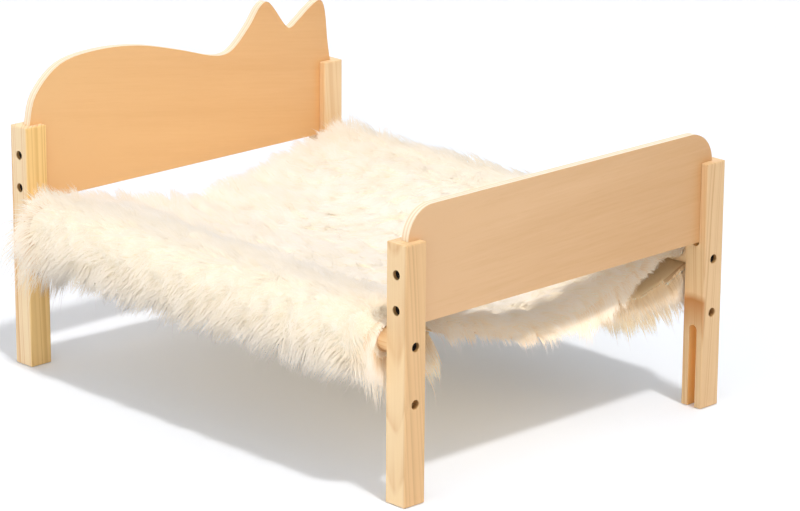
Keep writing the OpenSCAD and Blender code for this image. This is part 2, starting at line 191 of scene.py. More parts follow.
# Room for strands past the open ends, in front of a post and clear of it, how they bend down there, and the
# room at the sides
OVERHANG, OVERHANG_CLEAR = 0.0105, 0.0175
POST_PAST, POST_BESIDE = (0.0025, 0.006), (0.002, 0.012)
MOUTH_LESS, FALL_HANG, OVER_DROP = 0.85, 0.9, 0.3
REACH_X, REACH_SOFT = 0.249, 0.01


# Sizes taken from the frame
def middle_and_half(node):
    """Middle and half size of a CAD node's box."""
    low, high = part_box(node)
    return (low + high) / 2, (high - low) / 2


post_middle, post_half = middle_and_half("back_right_leg")
POST_X, POST_Y, POST_HALF = post_middle.x, post_middle.y, post_half.x
POST_TOP = 2 * post_half.z
rail_middle, rail_half = middle_and_half("right_rail")
RAIL_X, RAIL_Z, RAIL_R = rail_middle.x, rail_middle.z, rail_half.z
bed_low, bed_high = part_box("sling_bed")
SEAM_X = bed_high.x
SLING_HALF_L = bed_high.y
BED_EDGE_Z = RAIL_Z + BED_EDGE_RISE
BED_SAG = BED_EDGE_Z - bed_low.z
LOCK_ROWS = 2 * round(2 * SLING_HALF_L / LOCK_PITCH)
BED_LOCKS = 2 * round(2 * SEAM_X / LOCK_PITCH)
SLEEVE_LOCKS = 2 * round((2 * (RAIL_X - SEAM_X) + math.pi * (RAIL_R + PILE_T)) / LOCK_PITCH)
POCKET_X = {-1: -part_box("left_flap")[1].x, 1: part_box("right_flap")[0].x}


def linear(r, g, b):
    """Linear colour from a display colour of 0 to 255 a channel."""
    def one(c):
        c /= 255
        return c / 12.92 if c <= 0.04045 else ((c + 0.055) / 1.055) ** 2.4
    return (one(r), one(g), one(b), 1.0)


# Node materials
class Nodes:
    """Short calls for building one material's node tree."""

    def __init__(self, name):
        self.material = bpy.data.materials.new(name)
        self.material.use_nodes = True
        self.tree = self.material.node_tree
        self.shader = self.tree.nodes["Principled BSDF"]

    def add(self, kind, inputs=None, **settings):
        """New node with its settings and inputs, where an input is a value or another node's output."""
        made = self.tree.nodes.new(kind)
        for key, value in settings.items():
            setattr(made, key, value)
        for key, value in (inputs or {}).items():
            self.feed(made.inputs[key], value)
        return made

    def feed(self, socket, value):
        if isinstance(value, bpy.types.NodeSocket):
            self.tree.links.new(value, socket)
        else:
            socket.default_value = value

    def place(self):
        """Place in the model's frame."""
        return self.add("ShaderNodeTexCoord").outputs["Object"]

    def axes(self, vector):
        """X, Y and Z of a vector."""
        return list(self.add("ShaderNodeSeparateXYZ", {"Vector": vector}).outputs)

    def attribute(self, name):
        return self.add("ShaderNodeAttribute", attribute_name=name).outputs["Fac"]

    def mapped(self, vector, location=(0, 0, 0), rotation=(0, 0, 0), scale=(1, 1, 1)):
        turned = tuple(math.radians(a) for a in rotation)
        made = self.add("ShaderNodeMapping", {"Vector": vector, "Location": location, "Rotation": turned,
                                              "Scale": scale})
        return made.outputs["Vector"]

    def noise(self, vector, scale, detail=2.0, roughness=0.5):
        made = self.add("ShaderNodeTexNoise", {"Vector": vector, "Scale": scale, "Detail": detail,
                                               "Roughness": roughness})
        return made.outputs["Fac"]

    def stretched(self, vector, scales, detail=2.0, roughness=0.5):
        """Noise with a scale of its own along each axis."""
        return self.noise(self.mapped(vector, scale=scales), 1.0, detail, roughness)

    def math(self, operation, a, b=0.0):
        made = self.add("ShaderNodeMath", {0: a, 1: b}, operation=operation)
        return made.outputs[0]

    def total(self, a, b):
        return self.math("ADD", a, b)

    def product(self, a, b):
        return self.math("MULTIPLY", a, b)

    def centred(self, noise, size):
        """Noise moved to lie around 0, with a size."""
        return self.product(self.math("SUBTRACT", noise, 0.5), size)

    def spread(self, value, low, high, to_low=0.0, to_high=1.0):
        """Value moved from one range to another and held within it."""
        made = self.add("ShaderNodeMapRange", {"Value": value, "From Min": low, "From Max": high,
                                               "To Min": to_low, "To Max": to_high})
        return made.outputs["Result"]

    def mix(self, share, a, b):
        """Colour between a and b, by the node's colour sockets."""
        made = self.add("ShaderNodeMix", data_type="RGBA")
        self.feed(made.inputs[0], share)
        self.feed(made.inputs[6], a)
        self.feed(made.inputs[7], b)
        return made.outputs[2]

    def bump(self, height, strength, distance):
        made = self.add("ShaderNodeBump", {"Height": height, "Strength": strength, "Distance": distance})
        return made.outputs["Normal"]

    def finish(self, **sockets):
        for key, value in sockets.items():
            self.feed(self.shader.inputs[key.replace("_", " ")], value)
        return self.material


def pine(name, pith, turn, axis_turn=(0, 0, 0), ring=0.0042, depth=0.42, pale=(250, 218, 171),
         late=(220, 165, 106), post=None, **marks):
    """Solid pine: growth rings round a pith line beside the piece, each turning from pale to late wood, and
    fine fibres along it. A post at (x, y) has marks of its own."""
    n = Nodes(name)
    along = n.mapped(n.place(), rotation=axis_turn)
    warp = n.stretched(along, SWAY_SCALE, detail=3.0)
    local = n.mapped(along, location=pith, rotation=turn)
    x, y, _ = n.axes(local)
    straight = n.math("SQRT", n.total(n.product(x, x), n.product(y, y)))
    radius = n.total(straight, n.centred(warp, RING_SWAY))
    years = n.add("ShaderNodeTexNoise", {"W": radius, "Scale": YEAR_SCALE, "Detail": 1.0},
                  noise_dimensions="1D")
    uneven = n.total(radius, n.centred(years.outputs["Fac"], RING_UNEVEN))
    phase = n.math("FRACT", n.math("DIVIDE", uneven, ring))
    rise = n.math("POWER", n.spread(phase, *LATE_RISE), LATE_POWER)
    fall = n.spread(phase, *LATE_FALL, to_low=1.0, to_high=0.0)
    streaks = n.stretched(local, STREAK_SCALE, detail=1.0)
    late_share = n.product(n.product(rise, fall), n.spread(streaks, *NOISE_RANGE, to_low=0.25))
    figure = n.product(late_share, depth)
    fibre = n.stretched(along, FIBRE_SCALE, roughness=0.6)
    patch = n.stretched(along, PATCH_SCALE)
    grain = n.total(figure, n.spread(fibre, *FIBRE_RANGE, to_high=FIBRE_SHADE))
    shade = n.total(grain, n.spread(patch, *PATCH_RANGE, to_high=PATCH_SHADE))
    colour = n.mix(shade, linear(*pale), linear(*late))
    if post:
        colour = post_marks(n, colour, figure, patch, post, **marks)
    rough = n.spread(fibre, *NOISE_RANGE, to_low=0.46, to_high=0.58)
    height = n.math("SUBTRACT", fibre, n.product(late_share, LATE_BUMP))
    bump = n.bump(height, strength=0.12, distance=0.0004)
    return n.finish(Base_Color=colour, Roughness=rough, Normal=bump)


def post_marks(n, colour, figure, patch, post, face_light=0.0, face_light_tone=(236, 172, 92), stain=0.0):
    """A post's colour with painted light and shade on its -Y face in a heartwood tone, a stain above the
    lower slot, and the inside of slots and holes, the holes' inside in painted shade.
    """
    x, y, z = n.axes(n.place())
    off_x, off_y = n.math("SUBTRACT", x, post[0]), n.math("SUBTRACT", y, post[1])
    # Painted light and shade on the -Y face in a heartwood tone with the rings' figure: darker on the front
    # posts, warmer on the back left
    face_light_share = n.spread(off_y, FACE_LIGHT_T - POST_HALF, -POST_HALF, to_high=face_light)
    face_light_colour = n.mix(figure, linear(*face_light_tone), linear(*(FACE_LIGHT_DEEPER * c for c in face_light_tone)))
    colour = n.mix(face_light_share, colour, face_light_colour)
    height = n.total(z, n.centred(patch, STAIN_SWAY))
    upper_edge = n.spread(height, STAIN_Z + STAIN_OVER, STAIN_Z)
    band = n.product(upper_edge, n.spread(height, STAIN_Z - STAIN_UNDER, STAIN_Z))
    stained = n.product(band, n.spread(off_x, *STAIN_SIDE, to_high=stain))
    colour = n.mix(stained, colour, linear(*STAIN_TONE))
    out = n.math("MAXIMUM", n.math("ABSOLUTE", off_x), n.math("ABSOLUTE", off_y))
    within = n.spread(out, *(POST_HALF - t for t in SIDE_SKIN))
    inside = n.product(within, n.spread(z, *(POST_TOP - t for t in TOP_SKIN)))
    outer = n.spread(n.product(off_x, math.copysign(1, post[0])), *HOLE_SIDE)
    upper_slot = POST_TOP - SLOT_TOP
    over_slot = n.spread(z, SLOT_TOP, SLOT_TOP + SLOT_SOFT)
    middle = n.product(over_slot, n.spread(z, upper_slot, upper_slot - SLOT_SOFT))
    # Holes take a darker tone than slots: painted shade inside the holes
    hollow = n.mix(n.math("MAXIMUM", outer, middle), linear(*SLOT_TONE), linear(*HOLE_SHADE_TONE))
    return n.mix(inside, colour, hollow)


def veneer(name, face, streak, slant, drift):
    """Veneered plywood board in an XZ plane: slanting figure along X on its faces, deeper to the right, and
    pale plies on its edges."""
    n = Nodes(name)
    place = n.place()
    slanted = n.mapped(place, rotation=(0, slant, 0))
    broad = n.stretched(slanted, BROAD_SCALE, detail=3.0, roughness=0.55)
    fine = n.stretched(slanted, FINE_SCALE, roughness=0.6)
    pores = n.stretched(slanted, PORE_SCALE, detail=1.0)
    coarse = n.spread(broad, *BROAD_RANGE, to_high=BROAD_SHADE)
    figure = n.total(coarse, n.spread(fine, *NOISE_RANGE, to_high=FINE_SHADE))
    flecked = n.total(figure, n.spread(pores, *PORE_RANGE, to_high=PORE_SHADE))
    x, y, _ = n.axes(place)
    deeper = n.spread(x, -RAIL_X, RAIL_X, -drift, drift)
    front = n.mix(n.total(flecked, deeper), linear(*face), linear(*streak))
    ply = n.math("PINGPONG", n.math("DIVIDE", y, PLY_T), 1.0)
    rim = n.mix(n.spread(ply, *PLY_RANGE, to_high=PLY_SHADE), linear(*BOARD_EDGE), linear(*face))
    normal = n.axes(n.add("ShaderNodeNewGeometry").outputs["True Normal"])
    facing = n.math("ABSOLUTE", normal[1])
    colour = n.mix(n.spread(facing, *FACE_RANGE), rim, front)
    rough = n.spread(fine, *NOISE_RANGE, to_low=0.40, to_high=0.52)
    bump = n.bump(n.total(fine, pores), strength=0.06, distance=0.0003)
    return n.finish(Base_Color=colour, Roughness=rough, Normal=bump)


def metal(name, colour, worn, metallic, rough):
    """Metal with a fine mottled finish that is a little worn."""
    n = Nodes(name)
    mottle = n.noise(n.place(), scale=900.0, detail=3.0, roughness=0.6)
    wear = n.noise(n.place(), scale=260.0)
    tint = n.mix(n.spread(wear, *WEAR_RANGE), linear(*colour), linear(*worn))
    mottled = n.spread(mottle, *NOISE_RANGE, rough - METAL_SMOOTHER, rough + METAL_ROUGHER)
    bump = n.bump(mottle, strength=0.1, distance=0.0001)
    return n.finish(Base_Color=tint, Metallic=metallic, Roughness=mottled, Normal=bump)


def backing(name):
    """Suede-like backing of the plush, with a darker cut edge at the sling's open ends."""
    n = Nodes(name)
    place = n.place()
    nap = n.noise(place, scale=1400.0, detail=3.0, roughness=0.7)
    cloud = n.noise(place, scale=28.0, detail=3.0)
    knit = n.stretched(place, KNIT_SCALE, detail=1.0)
    clouded = n.spread(cloud, *NOISE_RANGE, to_high=CLOUD_PART)
    tone = n.total(clouded, n.spread(nap, *NOISE_RANGE, to_high=NAP_PART))
    face = n.mix(tone, *(linear(*c) for c in BACKING_TONES))
    end = n.math("ABSOLUTE", n.axes(place)[1])
    cut = n.spread(end, *(SLING_HALF_L - t for t in CUT_EDGE))
    colour = n.mix(cut, face, linear(*CUT_TONE))
    bump = n.bump(n.total(nap, knit), strength=0.35, distance=0.0005)
    return n.finish(Base_Color=colour, Roughness=0.93, Sheen_Weight=0.25, Normal=bump)


def plush(name, root, tip):
    """Long pile: each strand has its own tone, painted shade at its root, and painted warm shade at the foot
    end.
    """
    n = Nodes(name)
    along, tone = n.attribute("along"), n.attribute("tone")
    cloud = n.noise(n.place(), scale=34.0, detail=3.0)
    # Painted shade, deepest at each strand's root, standing in for the shade among strands that cast none
    lit = n.total(n.spread(along, *ROOT_SHADE_RANGE, to_high=ROOT_SHADE_PART), n.product(tone, TONE_PART))
    light = n.math("SUBTRACT", lit, n.spread(cloud, *WARM_RANGE, to_high=WARM_PART))
    even = n.mix(light, linear(*root), linear(*tip))
    x, y, _ = n.axes(n.place())
    # Painted warm shade at the foot end, less on the left and most at the roots
    at_foot = n.product(n.spread(y, FOOT_SHADE_Y, -SLING_HALF_L), n.spread(x, *FOOT_SHADE_X, to_low=FOOT_SHADE_LEFT))
    foot_shade = n.product(at_foot, n.spread(along, 0.0, 1.0, FOOT_SHADE_ROOT, FOOT_SHADE_TIP))
    colour = n.mix(foot_shade, even, linear(*FOOT_SHADE_TONE))
    return n.finish(Base_Color=colour, Roughness=0.72, Sheen_Weight=0.15, Specular_IOR_Level=0.25)


def undercoat(name):
    """Dense short pile under the strands."""
    n = Nodes(name)
    fuzz = n.noise(n.place(), scale=700.0, detail=3.0, roughness=0.7)
    height = n.total(fuzz, n.noise(n.place(), scale=110.0, detail=3.0))
    colour = n.mix(n.spread(height, *UNDERCOAT_RANGE), *(linear(*c) for c in UNDERCOAT_TONES))
    return n.finish(Base_Color=colour, Roughness=0.9, Normal=n.bump(height, strength=0.4, distance=0.002))


# Each post's share and tone for the painted light and shade on its -Y face, in a heartwood tone
POST_LOOKS = {
    "front_left": dict(pith=(0.150, 0.268, 0.0), turn=(0.5, 4.5, 0), ring=0.0052, depth=0.5,
                       pale=(255, 224, 175), face_light=0.7, face_light_tone=(228, 178, 120)),
    "front_right": dict(pith=(-0.1475, 0.3275, 0.0), turn=(1.2, -1.4, 0), ring=0.0042, depth=0.75,
                        pale=(242, 207, 158), late=(212, 156, 97), face_light=0.25, face_light_tone=(212, 160, 104),
                        stain=1.0),
    "back_left": dict(pith=(0.2525, -0.3225, 0.0), turn=(0.8, 0.6, 0), ring=0.0038, depth=0.85,
                      pale=(255, 229, 186), late=(228, 173, 110), face_light=0.55, face_light_tone=(252, 200, 96)),
    "back_right": dict(pith=(-0.24, -0.31, 0.0), turn=(-1.4, 1.2, 0), ring=0.0046),
}
BOARD_LOOKS = {
    # The headboard's tones are brighter than the footboard's: painted light, for the light that the pile
    # throws onto it
    "headboard": dict(face=(243, 193, 134), streak=(230, 176, 116), slant=-9, drift=0.45),
    "footboard": dict(face=(230, 185, 136), streak=(209, 159, 104), slant=2, drift=0.5),
}
dowel = pine("pine_dowel", pith=(0.02, 0.03, 0.0), turn=(1, 1, 0), axis_turn=(90, 0, 0))
black_steel = metal("black_steel", (26, 24, 23), worn=(58, 54, 50), metallic=0.7, rough=0.42)
brass = metal("brass", (206, 164, 92), worn=(176, 132, 66), metallic=1.0, rough=0.34)
NODE_ENDINGS = {"_rail": dowel, "_bolt": black_steel, "_screw": black_steel, "_insert": brass}


def dress(node, material):
    node.data.materials.clear()
    node.data.materials.append(material)


for corner, looks in POST_LOOKS.items():
    at = (POST_X if corner.endswith("right") else -POST_X, POST_Y if corner.startswith("back") else -POST_Y)
    dress(nodes[f"{corner}_leg"], pine(f"pine_{corner}", post=at, **looks))
for board, looks in BOARD_LOOKS.items():
    dress(nodes[board], veneer(f"veneer_{board}", **looks))
for name, node in nodes.items():
    for ending, material in NODE_ENDINGS.items():
        if name.endswith(ending):
            dress(node, material)


# Arrays of numbers
def unit(vectors):
    return vectors / np.linalg.norm(vectors, axis=-1, keepdims=True)


def ramp(value, low, high):
    """Smooth step from 0 at low to 1 at high."""
    t = np.clip((value - low) / (high - low), 0, 1)
    return t * t * (3 - 2 * t)


# Shape of the sling's cloth
def tangent_angle(point, radius, side):
    """Angle at which a straight stretch from a point touches a circle round the origin."""
    return math.atan2(point[1], point[0]) + side * math.acos(radius / math.hypot(*point))


def bed_z(u, v):
    """Height of the bed's backing at a share u of its half width and a station share v."""
    return BED_EDGE_Z - (BED_SAG - (FOOT_LIFT if v < 0 else HEAD_LIFT) * v * v) * (1 - u * u)


def half_section(v, side):
    """One half of the cloth's section at station share v, laid out to the right: (x, z) points from the
    bed's middle over the rail to the pocket's seam, the count of half locks at each point, and the lengths
    from the middle to the ends of bed, sleeve and flap."""
    pocket_x, flap_edge_z = POCKET_X[side], BED_EDGE_Z - POCKET_H[side]
    radius = RAIL_R + CLOTH_CLEAR + CLOTH_T / 2
    u = np.linspace(0, 1, BED_POINTS)
    bed = np.stack([u * SEAM_X, bed_z(u, v) + CLOTH_T / 2], 1)
    w = np.linspace(1, 0, FLAP_POINTS)
    seam_z = bed_z(pocket_x / SEAM_X, v) - SEAM_CLEAR
    flap_z = (1 - w) * seam_z + w * flap_edge_z - CLOTH_T / 2
    flap = np.stack([pocket_x + w * (SEAM_X - pocket_x), flap_z], 1)
    centre = np.array([RAIL_X, RAIL_Z])
    first = tangent_angle(bed[-1] - centre, radius, -1)
    last = tangent_angle(flap[0] - centre, radius, 1)
    turn = np.linspace(first, last, WRAP_POINTS)
    wrap = centre + radius * np.stack([np.cos(turn), np.sin(turn)], 1)
    path = np.concatenate([bed, wrap, flap])
    step = np.concatenate([[0], np.cumsum(np.linalg.norm(np.diff(path, axis=0), axis=1))])
    even = np.linspace(0, step[-1], CLOTH_COLUMNS)
    section = np.stack([np.interp(even, step, path[:, k]) for k in (0, 1)], 1)
    free = np.clip((RAIL_X - SMOOTH_FROM * RAIL_R - section[:, 0]) / RAIL_R, 0, 1)[1:-1, None]
    for _ in range(SMOOTH_ROUNDS):
        section[1:-1] += free * SMOOTH_SHARE * ((section[:-2] + section[2:]) / 2 - section[1:-1])
    wrap_start, flap_start = len(bed), len(bed) + len(wrap)
    ends = [step[wrap_start - 1], step[wrap_start], step[flap_start - 1], step[flap_start]]
    on_bed = (1 + side * section[:, 0] / SEAM_X) / 2 * BED_LOCKS
    on_sleeve = np.interp(even, ends, SLEEVE_STEPS) * SLEEVE_LOCKS / SLEEVE_STEPS[-1]
    past_sleeve = np.maximum(even - ends[-1], 0) * 2 / LOCK_PITCH
    locks = np.where(even < ends[0], on_bed, on_sleeve + past_sleeve)
    return section, locks, (ends[0], ends[-1], step[-1])


def hollow_share(locks, v):
    """Depth of places in the hollows between locks, from 0 to 1, by half locks across and station share."""
    along = (v + 1) / 2 * LOCK_ROWS
    return (1 - np.cos(math.pi * locks + LOCK_SWAY * np.sin(SWAY_TURN * along))
            * np.cos(math.pi * along + LOCK_SWAY * np.sin(SWAY_TURN * locks))) / 2


def waves(x, y):
    """Soft waves of the cloth with ripples across them."""
    bent = x * WAVE_ACROSS + WAVE_BEND * np.sin(y * WAVE_ALONG + WAVE_PHASE)
    return np.sin(bent) + RIPPLE_SHARE * np.sin(x * RIPPLE_ACROSS + y * RIPPLE_ALONG)


def cloth_grid(side):
    """Grid of points on the middle of one half's cloth, stations along Y by columns across, the hollows
    between locks there, and its lengths across."""
    shares = np.linspace(-1, 1, CLOTH_STATIONS)
    rows, hollows, lengths = [], [], ()
    for v in shares:
        section, locks, lengths = half_section(v, side)
        y = np.full(len(section), v * SLING_HALF_L)
        rows.append(np.stack([section[:, 0], y, section[:, 1]], 1))
        hollows.append(hollow_share(locks, v))
    grid = np.array(rows)
    upper = grid_normals(grid)[..., 2] > 0
    out, x = grid[..., 0], side * grid[..., 0]
    free = np.clip((RAIL_X - RAIL_R - out) / FREE_SPAN, 0, 1)
    end = np.abs(shares)[:, None] ** END_POWER
    wave = waves(x, grid[..., 1])
    lean = -np.tanh(x / LEAN_SPAN) * np.clip(1 - (x / LEAN_REACH) ** 2, 0, 1) * (shares[:, None] < 0)
    bed_rise = free * (WAVE_H * wave + end * (END_WAVE_H * wave + LEAN_H * lean))
    off_seam = np.clip((out - POCKET_X[side]) / FLAP_SPAN, 0, 1)
    flap_drop = free * off_seam * (FLAP_DROP + FLAP_WAVE_H * wave) * (FLAP_MIDDLE + end)
    grid[..., 2] += bed_rise - np.where(upper, 0, np.abs(flap_drop))
    if side > 0:
        for row, reach in enumerate(MOUTH_OUT):
            grid[row, :, 1] -= reach * ramp(grid[row, :, 0], *MOUTH_CORNER)
    grid[..., 0] *= side
    return grid, np.array(hollows), lengths


def grid_normals(grid):
    """Unit normals of a right half's grid, out of the loop."""
    return unit(np.cross(np.gradient(grid, axis=1), np.gradient(grid, axis=0)))


def outward(grid, side):
    """Unit normals out of the loop for either half."""
    return grid_normals(grid) * side


def coat_thickness(grid, normals, hollow):
    """Undercoat thickness: fuller at the side and below, in locks, thin at the open ends and the seam."""
    x, y = grid[..., 0], grid[..., 1]
    up, below = np.clip(normals[..., 2], 0, 1), np.clip(-normals[..., 2], 0, 1)
    thick = COAT_TOP * up ** 2 + COAT_BELOW * below ** 2 + COAT_SIDE * (1 - up ** 2 - below ** 2)
    thick += SHOULDER_H * up * np.exp(-((np.abs(x) - SHOULDER_X) / SHOULDER_W) ** 2) - LOCK_DEPTH * hollow
    end = (np.abs(y) / SLING_HALF_L) ** THIN_POWER
    flap = (np.abs(x) < SEAM_X) & (normals[..., 2] < 0)
    end_thin = np.where(flap, THIN_FLAP, THIN_SIDE + THIN_TOP * up ** 2)
    across = np.arange(grid.shape[1]) / (grid.shape[1] - 1)
    seam = np.clip((across - SEAM_FROM) / SEAM_SPAN, 0, 1)[None]
    return thick * (1 - end_thin * end) * (1 - SEAM_THIN * seam ** 2)


def sheet_faces(rows, cols, side):
    """Quads of a closed sheet between two grids of rows by cols points, outer first."""
    count = rows * cols
    faces = []
    for j in range(rows - 1):
        for i in range(cols - 1):
            a = j * cols + i
            quad = (a, a + 1, a + cols + 1, a + cols)
            faces.append(quad)
            faces.append(tuple(k + count for k in reversed(quad)))
    rim = [(i, i + 1) for i in range(cols - 1)]
    rim += [(j * cols + cols - 1, (j + 1) * cols + cols - 1) for j in range(rows - 1)]
    rim += [((rows - 1) * cols + i + 1, (rows - 1) * cols + i) for i in range(cols - 1)]
    rim += [((j + 1) * cols, j * cols) for j in range(rows - 1)]
    faces += [(b, a, a + count, b + count) for a, b in rim]
    return faces if side > 0 else [tuple(reversed(f)) for f in faces]


def closed_sheet(name, outer, inner, side, material):
    """Piece of cloth or coat between two grids of points."""
    rows, cols = outer.shape[:2]
    points = np.concatenate([outer.reshape(-1, 3), inner.reshape(-1, 3)])
    mesh = bpy.data.meshes.new(name)
    mesh.from_pydata(points.tolist(), [], sheet_faces(rows, cols, side))
    mesh.polygons.foreach_set("use_smooth", [True] * len(mesh.polygons))
    return add_object(name, mesh, material)


def add_object(name, mesh, material):
    mesh.materials.append(material)
    made = bpy.data.objects.new(name, mesh)
    bpy.context.scene.collection.objects.link(made)
    return made


# Pile strands
def jittered(pitch, width, length, rng):
    """Jittered grid of places, as (across, along) shares of 0 to 1, and the grid's counts."""
    nx, ny = int(width / pitch), int(length / pitch)
    i, j = np.meshgrid(np.arange(nx), np.arange(ny), indexing="ij")
    places = np.stack([i.ravel(), j.ravel()], 1) + rng.uniform(*JITTER, (nx * ny, 2))
    return places / (nx, ny), (nx, ny)


def end_places(count, rng):
    """Places beside the two open ends, as (across, along) shares."""
    along = rng.uniform(0, END_ZONE, count)
    across = rng.uniform(0, 1, count)
    at_foot = rng.uniform(0, 1, count) < 0.5
    return np.stack([across, np.where(at_foot, along, 1 - along)], 1)


def sample(grid, places):
    """Values of a grid at (across, along) shares, linearly between its points."""
    rows, cols = grid.shape[:2]
    fj, fi = places[:, 1] * (rows - 1), places[:, 0] * (cols - 1)
    j, i = np.minimum(fj.astype(int), rows - 2), np.minimum(fi.astype(int), cols - 2)
    tj, ti = (fj - j)[:, None], (fi - i)[:, None]
    return ((1 - tj) * ((1 - ti) * grid[j, i] + ti * grid[j, i + 1])
            + tj * ((1 - ti) * grid[j + 1, i] + ti * grid[j + 1, i + 1]))


def nearest_tuft(places, tufts, counts, size):
    """Index of the tuft nearest to each place, looking in the grid cells around it."""
    nx, ny = counts
    ci = np.clip((places[:, 0] * nx).astype(int), 0, nx - 1)
    cj = np.clip((places[:, 1] * ny).astype(int), 0, ny - 1)
    best = np.full(len(places), np.inf)
    index = np.zeros(len(places), int)
    for di in (-1, 0, 1):
        for dj in (-1, 0, 1):
            k = np.clip(ci + di, 0, nx - 1) * ny + np.clip(cj + dj, 0, ny - 1)
            gap = np.sum(((tufts[k] - places) * size) ** 2, axis=1)
            closer = gap < best
            best[closer], index[closer] = gap[closer], k[closer]
    return index


def falling(x):
    """Share by which the foot end's strands fall over the edge, beside the mouth of the wide pocket."""
    return ramp(x, *FALL_FROM) * (1 - ramp(x, *FALL_UNTIL))


def at_head(y):
    """Share from 0 to 1 towards the head end."""
    return ramp(y, SLING_HALF_L - HEAD_ZONE, SLING_HALF_L)


def strand_paths(root, normal, length, lean):
    """Points along strands that leave the coat at a slant and bend over with the comb and their weight. On
    the bed the comb turns from the foot over the left side to the head, and on the sleeves it points to the
    head. Strands at the head end stand proud, most at its corners, and those that hang are longer."""
    x, y = root[:, :1], root[:, 1:2]
    up, below = np.clip(normal[:, 2:3], 0, 1), np.clip(-normal[:, 2:3], 0, 1)
    sleeve = ramp(np.abs(x), *SLEEVE_FROM)
    foot = ramp(-y, SLING_HALF_L - FOOT_ZONE + FOOT_NARROWER * sleeve, SLING_HALF_L - FOOT_EDGE)
    head = at_head(y)
    ends = np.maximum(foot, head)
    proud = head * (PROUD_MIDDLE + PROUD_CORNER * ramp(np.abs(x), *CORNER_FROM))
    turn = math.pi / 2 * y / SLING_HALF_L
    sideways = np.where(below > 0, SIDE_COMB * np.sign(x), -SIDE_COMB)
    across = (1 - sleeve) * -BED_COMB * np.cos(turn) + sleeve * sideways
    flow = (1 - sleeve) * BED_COMB * np.sin(turn) + sleeve * SLEEVE_COMB
    along = flow - (flow + FOOT_COMB) * foot + HEAD_COMB * head
    comb = np.concatenate([across * (1 - END_ACROSS_LESS * ends), along, np.zeros_like(x)], 1)
    comb += lean * (1 - END_LEAN_LESS * ends)
    comb = (comb - normal * np.sum(comb * normal, 1, keepdims=True)) * (1 - PROUD_COMB_LESS * proud)
    down = np.array([0, 0, -1.0])
    stand = (ROOT_STAND + ROOT_BELOW * below + ROOT_ENDS * ends * (1 - up) + ROOT_FOOT * foot * up
             + ROOT_PROUD * proud)
    weight = ROOT_WEIGHT * (1 + ROOT_HEAD_WEIGHT * head) * (1 - up)
    start = unit(stand * normal + ROOT_COMB * comb + weight * down)
    tip_stand = TIP_STAND + TIP_BELOW * below + TIP_PROUD * proud
    tip_weight = TIP_WEIGHT * (1 + TIP_HEAD_WEIGHT * head) * (1 - up)
    finish = unit(tip_stand * normal + TIP_COMB * comb + tip_weight * down)
    longer = LONGER_MOUTH * foot * below * ramp(x, *FLAP_FROM) + LONGER_FALL * foot * up * falling(x)
    longer += LONGER_HEAD * head * (1 - up)
    longer += (LONGER_PROUD * proud + LONGER_SLEEVE * sleeve * below
               + LONGER_CORNER * foot * (1 - up) * sleeve * (x < 0))
    length = length[:, None] * (1 + longer)
    t = np.linspace(0, 1, STRAND_RINGS)[None, :, None]
    return root[:, None] + length[:, None] * (start[:, None] * (t - t * t / 2) + finish[:, None] * t * t / 2)


def strand_facing(root, normal):
    """Direction that each strand's visible side faces: out of the coat, turned up where the strand hangs, out
    of the sling beyond a rail and to its middle within, and away from the sling at its ends."""
    x, y = root[:, :1], root[:, 1:2]
    below = np.clip(-normal[:, 2:3], 0, 1)
    foot = ramp(-y, SLING_HALF_L - FOOT_TURN, SLING_HALF_L)
    head = ramp(y, SLING_HALF_L - HEAD_TURN, SLING_HALF_L)
    flat = ramp(below, *FLAT_BELOW)
    outer = ramp(np.abs(x), RAIL_X - RAIL_INSIDE, RAIL_X + RAIL_OUTSIDE)
    inner = head * (1 - outer)
    side = np.sign(x) * ((1 + FACE_INWARD) * outer - FACE_INWARD) * (1 - foot) * (1 - inner)
    across = below * side * (1 - FACE_FLAT_LESS * flat * (1 - head)) - FACE_FOOT_ACROSS * foot
    along = (FACE_HEAD + FACE_HEAD_BELOW * below) * head + FACE_HEAD_INNER * below * inner - FACE_FOOT * foot
    rise = (FACE_UP + FACE_UP_BELOW * below) * (1 - flat * (1 - np.maximum(foot, FACE_UP_HEAD * head)))
    return unit(normal + np.concatenate([across, along, rise], 1))


def held_back(path, hang):
    """Strand points kept clear of the posts at the open ends, where strands bend down past the edge by a
    share, least above the mouth of the wide pocket, and kept within the part's reach at the sides."""
    x, y, z = (path[..., k] for k in range(3))
    beyond = np.abs(x) - POST_X - POST_HALF
    past = np.clip((beyond - POST_PAST[0]) / POST_PAST[1], 0, 1) * (y > 0)
    beside = ramp(POST_X - POST_HALF - np.abs(x), *POST_BESIDE)
    room = OVERHANG + (OVERHANG_CLEAR - OVERHANG) * np.maximum(past, beside)
    over = np.maximum(np.abs(y) - SLING_HALF_L, 0)
    spread = room * np.tanh(over / room)
    mouth = ramp(x, *MOUTH_FROM) * (y < 0)
    on_bed = 1 - ramp(np.abs(x), *BED_UNTIL)
    fall = falling(x) * (y < 0)
    share = hang * (1 - fall) * (1 - MOUTH_LESS * mouth) * on_bed + FALL_HANG * fall
    drop = (np.sqrt(over ** 2 - spread ** 2) + OVER_DROP * over) * share
    held = np.minimum(np.abs(y), SLING_HALF_L) + spread
    limit = REACH_X - REACH_SOFT
    wide = np.maximum(np.abs(x) - limit, 0)
    narrow = np.minimum(np.abs(x), limit) + REACH_SOFT * np.tanh(wide / REACH_SOFT)
    return np.stack([np.sign(x) * narrow, np.sign(y) * held, z - drop], -1)


